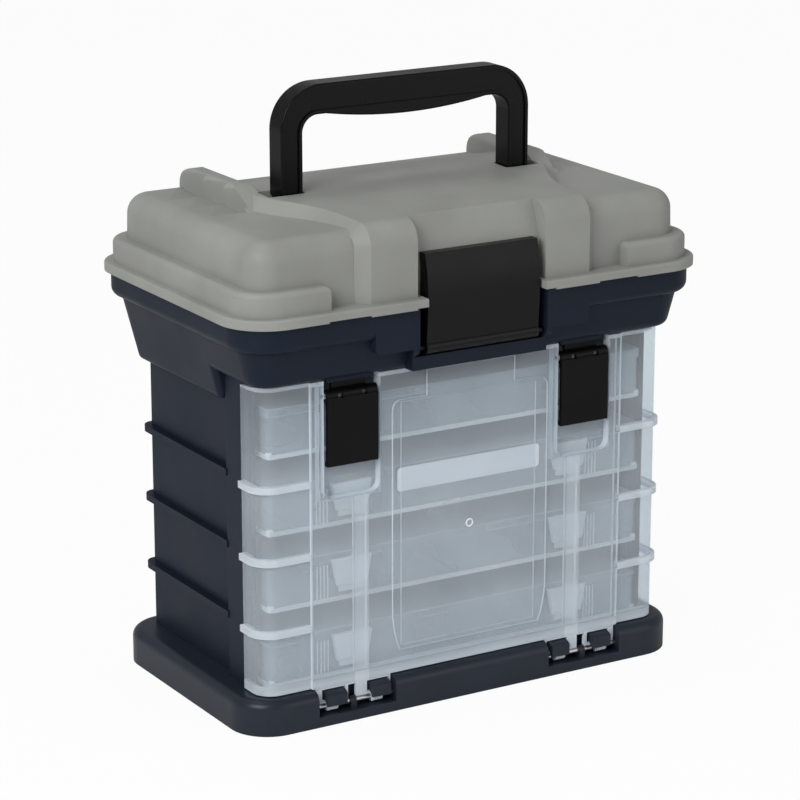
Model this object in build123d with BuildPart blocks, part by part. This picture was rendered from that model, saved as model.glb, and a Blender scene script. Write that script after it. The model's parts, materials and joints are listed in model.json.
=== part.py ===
from build123d import *
import os

os.makedirs("parts", exist_ok=True)

# A rack tackle box. Millimetres, +X to the right, the door faces -Y, +Z up.
# The origin is the middle of the foot of the base.

# Clearances
seat_gap = 0.3
pin_gap = 0.05
tray_side_gap = 1.0
tray_back_gap = 0.8
door_gap = 0.7

# Utility trays
tray_count = 4
tray_length = 274.0
tray_depth = 147.0
tray_height = 32.0
tray_pitch = 49.0
tray_wall = 1.8
tray_corner = 3.5
tray_lid_height = 5.3
tray_lid_lip = 1.6
front_row_depth = 62.0
divider_count = 5
divider_thick = 1.2
tab_from_end = 57.0
tab_width = 28.0
tab_foot_width = 21.0
tab_rise = 10.7
tab_overlap = 1.5
tab_proud = 3.2
tab_tongue_width = 17.0
tab_tongue_drop = 4.2
tab_tongue_thick = 1.4
tray_pin_radius = 1.2
tray_knuckle_radius = 2.4

# Rack that holds the trays
rack_wall = 2.6
rack_floor = 1.5
rack_headroom = 16.7
tray_front_proud = 15.0
ledge_width = 6.0
ledge_thick = 2.5
post_proud = 3.9
post_depth = 25.5
rib_first_z = 63.0
rib_pitch = 46.2
rib_count = 3
rib_thick = 4.2
fin_proud = 4.7

# Base
base_height = 22.5
base_wall = 3.0
base_side_ledge = 19.1
base_front_ledge = 32.1
base_back_ledge = 13.7
base_corner = 26.0
base_round = 6.0

# Tub on top of the rack
tub_wall = 2.6
tub_floor = 2.6
tub_height = 41.0
flare_height = 23.0
skirt_drop = 19.0
skirt_end_round = 4.0
foot_overhang = 10.9
foot_front_setback = 2.7
foot_corner = 13.4
flare_slope = 14.0
rim_overhang = 23.4
rim_front_overhang = 9.8
rim_corner = 26.0
rim_drop = 17.5
boss_width = 77.0
boss_drop = 26.2
boss_round = 4.0
bay_width = 46.0
bay_depth = 10.9
bay_wall = 2.6

# Lid
flange_overhang = 4.0
flange_thick = 5.0
lip_depth = 1.0
lip_gap = 1.9
lip_from_end = 57.0
lip_tab_width = 32.0
lid_wall = 2.6
pad_inset = 5.7
pad_height = 19.7
pad_start = 106.5
shoulder_inset = 14.0
shoulder_height = 47.7
shoulder_round = 13.0
saddle_height = 55.9
saddle_front_inset = 6.9
saddle_flank = 7.5
brow_radius = 14.0
saddle_half_front = 86.0
saddle_half_back = 112.0
crest_y = -5.0
hump_height = 61.2
hump_inner = 100.0
hump_width = 14.5
hump_top_round = 4.5
hump_end_round = 12.0
hump_back_setback = 17.5
hump_length = 90.0
hump_rise = 26.0
grip_count = 3
grip_pitch = 27.2
grip_from_hump_end = 5.0
grip_wall_taper = 2.6
grip_length = 21.5
grip_depth = 4.0
grip_side_slope = 0.15
grip_long_slope = 0.11
pocket_inner = 73.5
pocket_outer = 99.0
pocket_depth = 8.7

# Handle
handle_outer = 90.2
handle_inner = 75.0
handle_rise = 59.0
handle_thick = 16.0
handle_y = -1.8
grip_thick = 19.0
grip_belly = 5.0
handle_corner = 28.0
handle_inner_corner = 11.0
handle_pivot_rise = 7.8
handle_pin_radius = 2.0
lug_radius = 4.6
lug_inner = 79.0
lug_outer = 86.2
handle_edge = 1.2

# Main latch over the lid and tub
latch_half = 40.3
latch_wall = 2.8
latch_thick = 7.4
latch_bulge = 1.6
latch_top = 31.0
latch_pin_radius = 1.7
latch_barrel_radius = 3.5
latch_pivot_drop = 27.0
latch_pivot_setback = 5.0
catch_width = 60.0

# Hinges of the lid
lid_pin_radius = 1.7
lid_knuckle_radius = 4.0
lid_hinge_spacing = 75.0
lid_knuckle_length = 18.0
lid_ear_length = 8.0

# Clear door
door_wall = 2.2
door_side_proud = 3.0
door_corner = 13.0
strip_step = 2.0
field_setback = 23.5
panel_setback = 8.6
panel_step = 1.5
panel_low = 13.5
panel_high = 20.0
panel_tab_half = 32.0
door_lip = 6.5
door_rim = 5.5
door_rib_width = 9.0
door_rib_thick = 2.0
door_rib_from_recess = 8.3
door_foot_gap = 0.7
rib_bump = 2.5
recess_setback = 9.3
recess_width = 39.0
recess_depth = 5.3
recess_low = 75.5
notch_drop = 16.5
door_pin_radius = 1.75
door_pin_z = 11.0
door_pin_setback = 0.5
hinge_setback = 2.3
hinge_width = 53.4
hinge_windows = [(1.4, 16.9), (24.8, 30.5), (32.7, 49.0)]
hinge_clips = [(7.2, 14.2), (39.2, 46.2)]
hinge_pad_gap = 1.2
hinge_ear_gap = 0.8

# Door latches
door_latch_height = 50.0
door_latch_side_gap = 1.2
door_rod_radius = 1.6
door_rod_drop = 11.0
door_rod_setback = 4.0
door_barrel_radius = 3.7
door_latch_thick = 2.4
ridge_drop = 2.8

# Places that follow from the sizes
rack_half = tray_length / 2 + tray_side_gap + rack_wall
rack_depth = tray_depth - tray_front_proud + tray_back_gap + rack_wall
base_depth = rack_depth + base_front_ledge + base_back_ledge
base_half = rack_half + base_side_ledge
rack_front = -base_depth / 2 + base_front_ledge
rack_back = base_depth / 2 - base_back_ledge
tray_front = rack_front - tray_front_proud
tray_back = tray_front + tray_depth
tray_z = base_height + rack_floor + seat_gap
rack_top = tray_z + (tray_count - 1) * tray_pitch + tray_height + rack_headroom
post_back = rack_front + post_depth
door_front = tray_front - tab_proud - 0.5 - door_wall + 0.2 - recess_depth
strip_front = door_front + strip_step
door_back = rack_front - 0.8
door_half = rack_half + post_proud + door_side_proud
door_low = base_height + door_foot_gap
door_high = rack_top - 0.8
tub_low = rack_top
tub_top = tub_low + tub_height
flare_top = tub_low + flare_height
foot_half = rack_half + foot_overhang
foot_front = base_depth / 2 - foot_front_setback
rim_front = base_depth / 2 + rim_front_overhang
rim_half = rack_half + rim_overhang
lid_low = tub_top + seat_gap
flange_half = rim_half + flange_overhang
flange_front = rim_front + flange_overhang
flange_corner = rim_corner + flange_overhang
flange_top = lid_low + flange_thick
shoulder_z = lid_low + shoulder_height
crest_z = lid_low + saddle_height
saddle_front = flange_front - saddle_front_inset
bay_y = -rim_front + bay_depth
lid_pin_y = flange_front - lid_knuckle_radius + 1.2
lid_pin_z = tub_top - lid_knuckle_radius - 0.5
latch_pivot_y = -rim_front + latch_pivot_setback
latch_pivot_z = tub_top - latch_pivot_drop
handle_pivot_z = crest_z + handle_pivot_rise
handle_top = handle_pivot_z + handle_rise
door_pin_y = door_front + door_pin_setback
door_rod_y = door_front + door_rod_setback - 1.5
door_rod_z = rack_top - door_rod_drop
rib_levels = [rib_first_z + rib_pitch * i for i in range(rib_count)]
tab_offset = tray_length / 2 - tab_from_end
field_half = tray_length / 2 - field_setback
recess_outer = field_half - recess_setback
recess_inner = recess_outer - recess_width
panel_half = recess_inner - panel_setback
hinge_outer = field_half - hinge_setback
hinge_inner = hinge_outer - hinge_width
hump_outer = hump_inner + hump_width
hump_back = saddle_front - hump_back_setback
hump_front = hump_back - hump_length
hump_z = lid_low + hump_height


# Base: a hollow plinth with a cross of ribs below and two hinge pockets in front
pocket_low = door_pin_z - 4.5
pocket_in = hinge_inner - 0.8
pocket_out = hinge_outer + 0.8
pocket_back = strip_front + door_wall + 1.2
pad_ring_outer = 10.1
pad_ring_inner = 4.45
pad_spans = [
    (hinge_inner + start + hinge_pad_gap, hinge_inner + end - hinge_pad_gap)
    for start, end in (hinge_windows[0], hinge_windows[2])
]
ear_span = (
    hinge_inner + hinge_windows[1][0] + hinge_ear_gap,
    hinge_inner + hinge_windows[1][1] - hinge_ear_gap,
)

with BuildPart() as base_plinth:
    with BuildSketch():
        RectangleRounded(2 * base_half, base_depth, base_corner)
    extrude(amount=base_height)
    fillet(base_plinth.faces().sort_by(Axis.Z)[-1].edges(), base_round)
    with BuildSketch():
        RectangleRounded(
            2 * (base_half - base_wall), base_depth - 2 * base_wall, base_corner - base_wall
        )
    extrude(amount=base_height - base_wall, mode=Mode.SUBTRACT)
    with BuildSketch():
        Rectangle(2 * base_half - base_wall, base_wall)
        Rectangle(base_wall, base_depth - base_wall)
    extrude(amount=base_height - base_wall / 2)
    for side in (-1, 1):
        middle = side * (pocket_in + pocket_out) / 2
        # Solid block behind each pocket, then the pocket itself
        with Locations((middle, -base_depth / 2 + base_wall, 0)):
            Box(
                pocket_out - pocket_in + 2 * base_wall + 2,
                pocket_back + base_depth / 2,
                base_height - base_wall / 2,
                align=(Align.CENTER, Align.MIN, Align.MIN),
            )
        with Locations((middle, -base_depth, pocket_low)):
            Box(
                pocket_out - pocket_in,
                base_depth + pocket_back,
                base_height,
                align=(Align.CENTER, Align.MIN, Align.MIN),
                mode=Mode.SUBTRACT,
            )
        # Arched pads that fill the windows of the hinge frame
        for inner, outer in pad_spans:
            low_x = min(side * inner, side * outer)
            with BuildSketch(Plane.YZ.offset(low_x)):
                with Locations((door_pin_y, door_pin_z)):
                    Circle(pad_ring_outer)
                    Circle(pad_ring_inner, mode=Mode.SUBTRACT)
                with Locations((-base_depth / 2 + 0.6, door_pin_z + 1.0)):
                    Rectangle(
                        pocket_back + base_depth / 2,
                        base_height,
                        align=(Align.MIN, Align.MIN),
                        mode=Mode.INTERSECT,
                    )
            extrude(amount=outer - inner)
        # Ear that carries the middle of the pin
        low_x = min(side * ear_span[0], side * ear_span[1])
        with BuildSketch(Plane.YZ.offset(low_x)):
            with Locations((door_pin_y, door_pin_z)):
                Circle(3.0)
            with Locations((door_pin_y, pocket_low - 1.0)):
                Rectangle(6.0, door_pin_z - pocket_low + 1.0, align=(Align.CENTER, Align.MIN))
        extrude(amount=ear_span[1] - ear_span[0])
        # Bore of the hinge pin
        with Locations(Location((middle, door_pin_y, door_pin_z), (0, 90, 0))):
            Cylinder(
                door_pin_radius + pin_gap, pocket_out - pocket_in + 4.0, mode=Mode.SUBTRACT
            )
base_plinth.part.label = "base_plinth"
export_step(base_plinth.part, "parts/base_plinth.step")

for side, name in ((-1, "left"), (1, "right")):
    with BuildPart() as door_pin:
        with Locations(
            Location((side * (pocket_in + pocket_out) / 2, door_pin_y, door_pin_z), (0, 90, 0))
        ):
            Cylinder(door_pin_radius, pocket_out - pocket_in + 3.4)
    door_pin.part.label = f"door_hinge_pin_{name}"
    export_step(door_pin.part, f"parts/door_hinge_pin_{name}.step")


# Rack: side walls, back, floor, front posts, tray ledges and outer ribs
with BuildPart() as rack_body:
    with BuildSketch(Plane.XY.offset(base_height)):
        with Locations((0, (rack_front + rack_back) / 2)):
            Rectangle(2 * rack_half, rack_depth)
    extrude(amount=rack_top - base_height)
    fillet(rack_body.edges().filter_by(Axis.Z).group_by(Axis.Y)[-1], 3.0)
    with BuildSketch(Plane.XY.offset(base_height + rack_floor)):
        with Locations((0, rack_front - 1.0)):
            Rectangle(
                2 * (rack_half - rack_wall),
                rack_depth - rack_wall + 1.0,
                align=(Align.CENTER, Align.MIN),
            )
    extrude(amount=rack_top, mode=Mode.SUBTRACT)
    for side in (-1, 1):
        with BuildSketch(Plane.XY.offset(base_height)):
            with Locations((side * (rack_half + post_proud / 2 - 0.5), rack_front + post_depth / 2)):
                RectangleRounded(post_proud + 1.0, post_depth, 1.6)
        extrude(amount=rack_top - base_height)
        for i in range(1, tray_count):
            ledge_top = tray_z + i * tray_pitch - seat_gap
            with Locations((side * (rack_half - rack_wall + 0.5), rack_front, ledge_top)):
                Box(
                    ledge_width + 0.5,
                    rack_depth - rack_wall + 0.5,
                    ledge_thick,
                    align=(Align.MAX if side > 0 else Align.MIN, Align.MIN, Align.MAX),
                )
    # Ribs run round both sides and the back
    for level in rib_levels:
        with BuildSketch(Plane.XY.offset(level - rib_thick / 2)):
            with Locations((0, post_back - 2.0)):
                RectangleRounded(
                    2 * (rack_half + fin_proud),
                    2 * (rack_back + fin_proud - post_back + 2.0),
                    8.0,
                )
            with Locations((0, post_back - 2.0)):
                Rectangle(
                    2 * rack_half + 40, rack_depth * 2, align=(Align.CENTER, Align.MAX),
                    mode=Mode.SUBTRACT,
                )
            with Locations((0, post_back - 3.0)):
                Rectangle(
                    2 * (rack_half - rack_wall / 2),
                    rack_back - rack_wall / 2 - post_back + 3.0,
                    align=(Align.CENTER, Align.MIN),
                    mode=Mode.SUBTRACT,
                )
        extrude(amount=rib_thick)
rack_body.part.label = "rack_body"
export_step(rack_body.part, "parts/rack_body.step")


# Tub: flared bin with a skirt over the rack, a thick rim and the latch bosses
ridge_low = tub_low - ridge_drop
ridge_y = door_rod_y + 0.4
with BuildPart() as top_tub:
    with BuildSketch(Plane.XY.offset(flare_top)):
        RectangleRounded(
            2 * (foot_half + flare_height * 0.25),
            2 * (foot_front + flare_height * 0.25),
            foot_corner + flare_height * 0.25,
        )
    extrude(amount=-(flare_height + skirt_drop), taper=flare_slope)
    fillet(top_tub.faces().sort_by(Axis.Z)[0].edges(), 4.5)
    # The skirt hangs behind the front posts only
    with Locations((0, post_back + seat_gap, tub_low)):
        Box(
            4 * rack_half, 2 * foot_front, 2 * skirt_drop,
            align=(Align.CENTER, Align.MAX, Align.MAX), mode=Mode.SUBTRACT,
        )
    with Locations((0, rack_back + seat_gap, tub_low)):
        Box(
            2 * (rack_half + seat_gap), 2 * foot_front, 2 * skirt_drop,
            align=(Align.CENTER, Align.MAX, Align.MAX), mode=Mode.SUBTRACT,
        )
    fillet(
        top_tub.edges().filter_by_position(Axis.Z, tub_low - 0.1, tub_low + 0.1)
        .filter_by(Axis.X).sort_by(Axis.Y)[0],
        6.5,
    )
    skirt_ends = top_tub.edges().filter_by(
        lambda e: abs((e @ 0.5).Y - post_back - seat_gap) < 0.1
        and tub_low - skirt_drop < (e @ 0.5).Z < tub_low
        and abs((e @ 0.5).X) > rack_half + 3.0
        and e.length > skirt_drop / 2
    )
    fillet(skirt_ends, skirt_end_round)
    with BuildSketch(Plane.XY.offset(tub_top - rim_drop)):
        RectangleRounded(2 * rim_half, 2 * rim_front, rim_corner)
    extrude(amount=rim_drop)
    fillet(
        top_tub.edges().filter_by_position(
            Axis.Z, tub_top - rim_drop - 0.05, tub_top - rim_drop + 0.05
        ).filter_by(lambda e: abs(e.bounding_box().max.X) > rim_half - rim_corner - 1
                    or abs(e.bounding_box().min.X) > rim_half - rim_corner - 1),
        6.0,
    )
    # Bosses on each side of the latch
    for side in (-1, 1):
        with BuildSketch(Plane.XZ.offset(rim_front)) as boss:
            with Locations((side * (bay_width + boss_width) / 2, tub_top - boss_drop)):
                Rectangle(
                    boss_width - bay_width, boss_drop - 2.0, align=(Align.CENTER, Align.MIN)
                )
            fillet(boss.vertices().group_by(Axis.Y)[0].sort_by(Axis.X)[-1 if side > 0 else 0], boss_round)
        extrude(amount=-12.0)
        with BuildSketch(Plane.YZ.offset(side * (bay_width + 2.2))):
            with Locations((latch_pivot_y, latch_pivot_z)):
                Circle(4.4)
            with Locations((latch_pivot_y - 4.4, latch_pivot_z)):
                Rectangle(14.0, 12.0, align=(Align.MIN, Align.MIN))
            with Locations((latch_pivot_y, latch_pivot_z - 4.4)):
                Rectangle(9.0, 12.0, align=(Align.MIN, Align.MIN))
        extrude(amount=2.2, both=True)
    # Bin
    with BuildSketch(Plane.XY.offset(tub_low + tub_floor)):
        RectangleRounded(
            2 * (foot_half - tub_wall + 0.6), 2 * (foot_front - tub_wall + 0.6),
            foot_corner - tub_wall,
        )
    extrude(amount=tub_height, taper=-flare_slope, mode=Mode.SUBTRACT)
    # Bay for the latch, with its own wall behind
    with Locations((0, bay_y + bay_wall, tub_low)):
        Box(
            2 * (bay_width + bay_wall), bay_wall + 6.0, tub_height,
            align=(Align.CENTER, Align.MAX, Align.MIN),
        )
    with Locations((0, bay_y, latch_pivot_z - 5.5)):
        Box(
            2 * bay_width, 40, tub_height,
            align=(Align.CENTER, Align.MAX, Align.MIN), mode=Mode.SUBTRACT,
        )
    with Locations(Location((0, latch_pivot_y, latch_pivot_z), (0, 90, 0))):
        Cylinder(
            latch_pin_radius + pin_gap, 2 * (bay_width + 3.4), mode=Mode.SUBTRACT
        )
    # Ridges below the front edge that the door latches hook behind
    for side in (-1, 1):
        with Locations((side * (recess_inner + recess_outer) / 2, ridge_y, ridge_low)):
            Box(
                recess_outer - recess_inner - 6.0, 2.0, ridge_drop + 1.0,
                align=(Align.CENTER, Align.CENTER, Align.MIN),
            )
    # Hinge ears at the back, and the room for the lid's knuckles
    for side in (-1, 1):
        centre = side * lid_hinge_spacing
        with Locations((centre, lid_pin_y - lid_knuckle_radius - 0.6, tub_top - rim_drop + 4.0)):
            Box(
                lid_knuckle_length + 1.0, 30, 40,
                align=(Align.CENTER, Align.MIN, Align.MIN), mode=Mode.SUBTRACT,
            )
        for end in (-1, 1):
            ear_x = centre + end * (lid_knuckle_length + lid_ear_length + 1.0) / 2
            with BuildSketch(Plane.YZ.offset(ear_x - lid_ear_length / 2)):
                with Locations((lid_pin_y, lid_pin_z)):
                    Circle(lid_knuckle_radius)
                with Locations((lid_pin_y, lid_pin_z)):
                    Rectangle(
                        8.0, 2 * lid_knuckle_radius, align=(Align.MAX, Align.CENTER)
                    )
            extrude(amount=lid_ear_length)
        with Locations(Location((centre, lid_pin_y, lid_pin_z), (0, 90, 0))):
            Cylinder(
                lid_pin_radius + pin_gap,
                lid_knuckle_length + 2 * lid_ear_length + 2.0,
                mode=Mode.SUBTRACT,
            )
top_tub.part.label = "top_tub"
export_step(top_tub.part, "parts/top_tub.step")

for side, name in ((-1, "left"), (1, "right")):
    with BuildPart() as lid_pin:
        with Locations(
            Location((side * lid_hinge_spacing, lid_pin_y, lid_pin_z), (0, 90, 0))
        ):
            Cylinder(lid_pin_radius, lid_knuckle_length + 2 * lid_ear_length + 1.6)
    lid_pin.part.label = f"lid_hinge_pin_{name}"
    export_step(lid_pin.part, f"parts/lid_hinge_pin_{name}.step")


# Saddle of the lid: its plan widens toward the back, its crown is a long low arch
brow_z = crest_z - 3.5 - brow_radius
with BuildPart() as saddle:
    with BuildSketch(Plane.XY.offset(lid_low + 1.0)):
        with BuildLine():
            right = Spline(
                (saddle_half_front, -saddle_front),
                (saddle_half_front, -saddle_front + 24),
                (saddle_half_front + 8.5, -40),
                (saddle_half_back - 1, -4),
                (saddle_half_back, 30),
                (saddle_half_back, saddle_front),
                tangents=[(0, 1), (0, 1)],
            )
            left = mirror(right, about=Plane.YZ)
            Line(right @ 0, left @ 0)
            Line(right @ 1, left @ 1)
        make_face()
    extrude(amount=saddle_height + 20)
    with BuildSketch(Plane.YZ.offset(-saddle_half_back - 5)):
        with BuildLine():
            front = Line((-saddle_front, lid_low), (-saddle_front, brow_z))
            brow = ThreePointArc(
                front @ 1,
                (-saddle_front + 0.293 * brow_radius, brow_z + 0.707 * brow_radius),
                (-saddle_front + brow_radius, brow_z + brow_radius),
            )
            crown = Spline(
                brow @ 1,
                (crest_y - 36, crest_z - 1.3),
                (crest_y, crest_z),
                (saddle_front - 57.5, crest_z - 1.5),
                (saddle_front - 22.5, crest_z - 10.7),
                (saddle_front, crest_z - 25),
            )
            Line(crown @ 1, (saddle_front, lid_low))
            Line((saddle_front, lid_low), front @ 0)
        make_face()
    extrude(amount=2 * saddle_half_back + 10, mode=Mode.INTERSECT)
    rims = saddle.edges().filter_by(lambda e: (e @ 0.5).Z > brow_z - 20 and abs((e @ 0.5).X) > 60)
    chamfer(rims, saddle_flank)

# Humps beside the handle: two bars with a round crest
with BuildPart() as humps:
    for side in (-1, 1):
        with BuildSketch(Plane.XZ.offset(-hump_back)) as bar:
            with Locations((side * (hump_outer + hump_inner) / 2, shoulder_z - 10)):
                Rectangle(
                    hump_width, hump_z - shoulder_z + 10, align=(Align.CENTER, Align.MIN)
                )
            fillet(bar.vertices().group_by(Axis.Y)[-1], hump_top_round)
        extrude(amount=hump_length)
    with BuildSketch(Plane.YZ.offset(-hump_outer - 5)):
        with BuildLine():
            rise = Spline(
                (hump_front, crest_z - 9),
                (hump_front + 0.4 * hump_rise, crest_z - 0.5),
                (hump_front + hump_rise, hump_z),
                tangents=[(1, 1.2), (1, 0)],
            )
            crest = Line(rise @ 1, (hump_back - hump_end_round, hump_z))
            end = RadiusArc(
                crest @ 1, (hump_back, hump_z - hump_end_round), hump_end_round
            )
            Polyline(
                end @ 1,
                (hump_back, shoulder_z - 10),
                (hump_front, shoulder_z - 10),
                rise @ 0,
            )
        make_face()
    extrude(amount=2 * hump_outer + 10, mode=Mode.INTERSECT)

# Three finger grips outside each hump: the wall runs in and the floor dips toward the front
grips = []
for side in (-1, 1):
    for i in range(grip_count):
        rear = hump_back - grip_from_hump_end - grip_pitch * i
        front = rear - grip_pitch
        with BuildPart() as grip:
            with BuildSketch(Plane.XY.offset(shoulder_z - 20)):
                with BuildLine():
                    Polyline(
                        (side * hump_outer, rear),
                        (side * (hump_outer - grip_wall_taper), front),
                        (side * (hump_outer + grip_length), front),
                        (side * (hump_outer + grip_length), rear),
                        (side * hump_outer, rear),
                    )
                make_face()
            extrude(amount=60)
            split(
                bisect_by=Plane(
                    origin=(side * (hump_outer - grip_wall_taper), front, shoulder_z - grip_depth),
                    z_dir=(-side * grip_side_slope, -grip_long_slope, 1),
                ),
                keep=Keep.TOP,
            )
        grips.append(grip.part)

# Hollow of the lid
with BuildPart() as lid_core:
    with BuildSketch(Plane.XY.offset(lid_low)):
        RectangleRounded(
            2 * (flange_half - shoulder_inset - lid_wall - 0.6),
            2 * (flange_front - shoulder_inset - lid_wall - 0.8),
            14,
        )
    extrude(amount=shoulder_height - lid_wall, taper=1)
    fillet(lid_core.faces().sort_by(Axis.Z)[-1].edges(), shoulder_round - 3)
    with BuildSketch(Plane.XY.offset(lid_low)):
        RectangleRounded(
            2 * (flange_half - pad_inset - lid_wall),
            2 * (flange_front - pad_inset - lid_wall),
            flange_corner - pad_inset - lid_wall,
        )
        with Locations((0, flange_front), (0, -flange_front)):
            Rectangle(2 * (pad_start + lid_wall), 2 * (shoulder_inset + 4), mode=Mode.SUBTRACT)
    extrude(amount=pad_height - lid_wall)
    # The ceiling is lower under the finger grips
    for side in (-1, 1):
        with Locations((
            side * hump_inner,
            (hump_back + hump_front) / 2,
            shoulder_z - grip_depth - lid_wall,
        )):
            Box(
                hump_width + grip_length + 4.0, hump_length + 6.0, 20,
                align=(Align.MIN if side > 0 else Align.MAX, Align.CENTER, Align.MIN),
                mode=Mode.SUBTRACT,
            )
    with BuildSketch(Plane.YZ):
        with BuildLine():
            Polyline(
                (-saddle_front + 13, shoulder_z - 20),
                (-saddle_front + 19.5, crest_z - 6.6),
                (crest_y, crest_z - 3),
                (saddle_front - 57.5, crest_z - 4.5),
                (saddle_front - 22.5, crest_z - 14),
                (saddle_front - 17.5, shoulder_z - 20),
                (-saddle_front + 13, shoulder_z - 20),
            )
        make_face()
    extrude(amount=pocket_inner - 6, both=True)

with BuildPart() as lid:
    with BuildSketch(Plane.XY.offset(lid_low)):
        RectangleRounded(2 * flange_half, 2 * flange_front, flange_corner)
    extrude(amount=flange_thick)
    fillet(lid.faces().sort_by(Axis.Z)[-1].edges(), 1.5)
    # Lip below the flange, outside the tub's rim
    with BuildSketch(Plane.XY.offset(lid_low - lip_depth)):
        RectangleRounded(2 * flange_half, 2 * flange_front, flange_corner)
        RectangleRounded(
            2 * (rim_half + lip_gap), 2 * (rim_front + lip_gap), rim_corner + lip_gap,
            mode=Mode.SUBTRACT,
        )
        Rectangle(2 * (flange_half - lip_from_end), 4 * flange_front, mode=Mode.SUBTRACT)
        for side in (-1, 1):
            with Locations((side * (bay_width + 4.0 + lip_tab_width / 2), -flange_front)):
                Rectangle(
                    lip_tab_width, flange_front - rim_front - lip_gap,
                    align=(Align.CENTER, Align.MIN),
                )
    extrude(amount=lip_depth + 1.0)
    with BuildSketch(Plane.XY.offset(flange_top - 2)):
        RectangleRounded(
            2 * (flange_half - pad_inset), 2 * (flange_front - pad_inset), flange_corner - pad_inset
        )
        with Locations((0, flange_front), (0, -flange_front)):
            Rectangle(2 * pad_start, 2 * (shoulder_inset + 2), mode=Mode.SUBTRACT)
    extrude(amount=pad_height - flange_thick + 2)
    fillet(lid.faces().sort_by(Axis.Z)[-1].edges(), 3.5)
    with BuildSketch(Plane.XY.offset(flange_top - 2)):
        RectangleRounded(
            2 * (flange_half - shoulder_inset), 2 * (flange_front - shoulder_inset), 17
        )
    extrude(amount=shoulder_height - flange_thick + 2, taper=1.5)
    fillet(lid.faces().sort_by(Axis.Z)[-1].edges(), shoulder_round)
    add(saddle.part)
    add(humps.part)
    for grip_part in grips:
        add(grip_part, mode=Mode.SUBTRACT)
    add(lid_core.part, mode=Mode.SUBTRACT)
    # Bay for the main latch
    with BuildSketch(Plane.YZ):
        with BuildLine():
            Polyline(
                (-flange_front - 10, flange_top),
                (bay_y, flange_top),
                (bay_y, shoulder_z - 17),
                (-saddle_front + 15.5, crest_z - 3.4),
                (-saddle_front + 15.5, crest_z + 20),
                (-flange_front - 10, crest_z + 20),
                (-flange_front - 10, flange_top),
            )
        make_face()
    extrude(amount=bay_width, both=True, mode=Mode.SUBTRACT)
    with Locations((0, bay_y, lid_low - 3)):
        Box(
            2 * (latch_half + 2.0), 40, 20,
            align=(Align.CENTER, Align.MAX, Align.MIN), mode=Mode.SUBTRACT,
        )
    with Locations((0, bay_y + 0.5, tub_top + 7.0)):
        Box(catch_width, 4.5, 3.0, align=(Align.CENTER, Align.MAX, Align.MIN))
    # Handle pockets with a lug in each
    for side in (-1, 1):
        with BuildSketch(Plane.XY.offset(crest_z - pocket_depth)):
            with Locations((side * (pocket_inner + pocket_outer) / 2, handle_y)):
                RectangleRounded(pocket_outer - pocket_inner, handle_thick + 1.2, 2)
        extrude(amount=30, mode=Mode.SUBTRACT)
        low_x = min(side * lug_inner, side * lug_outer)
        with BuildSketch(Plane.YZ.offset(low_x)):
            with Locations((handle_y, handle_pivot_z)):
                Circle(lug_radius)
            with Locations((handle_y, handle_pivot_z)):
                Rectangle(
                    2 * lug_radius,
                    handle_pivot_rise + pocket_depth + 1,
                    align=(Align.CENTER, Align.MAX),
                )
        extrude(amount=lug_outer - lug_inner)
        with Locations(
            Location((side * (lug_inner + lug_outer) / 2, handle_y, handle_pivot_z), (0, 90, 0))
        ):
            Cylinder(handle_pin_radius, 20, mode=Mode.SUBTRACT)
    # Hinge knuckles at the back
    for side in (-1, 1):
        with BuildSketch(Plane.YZ.offset(side * lid_hinge_spacing - lid_knuckle_length / 2)):
            with Locations((lid_pin_y, lid_pin_z)):
                Circle(lid_knuckle_radius)
            with Locations((flange_front, lid_pin_z)):
                Rectangle(
                    flange_front - lid_pin_y + lid_knuckle_radius,
                    lid_low - lid_pin_z + 1.0,
                    align=(Align.MAX, Align.MIN),
                )
        extrude(amount=lid_knuckle_length)
        with Locations(
            Location((side * lid_hinge_spacing, lid_pin_y, lid_pin_z), (0, 90, 0))
        ):
            Cylinder(lid_pin_radius + pin_gap, lid_knuckle_length + 2, mode=Mode.SUBTRACT)
lid.part.label = "lid"
export_step(lid.part, "parts/lid.step")

for side, name in ((-1, "left"), (1, "right")):
    with BuildPart() as handle_pin:
        with Locations(
            Location((side * (handle_inner + handle_outer) / 2, handle_y, handle_pivot_z), (0, 90, 0))
        ):
            Cylinder(handle_pin_radius, handle_outer - handle_inner - 2.0)
    handle_pin.part.label = f"handle_pin_{name}"
    export_step(handle_pin.part, f"parts/handle_pin_{name}.step")


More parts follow.
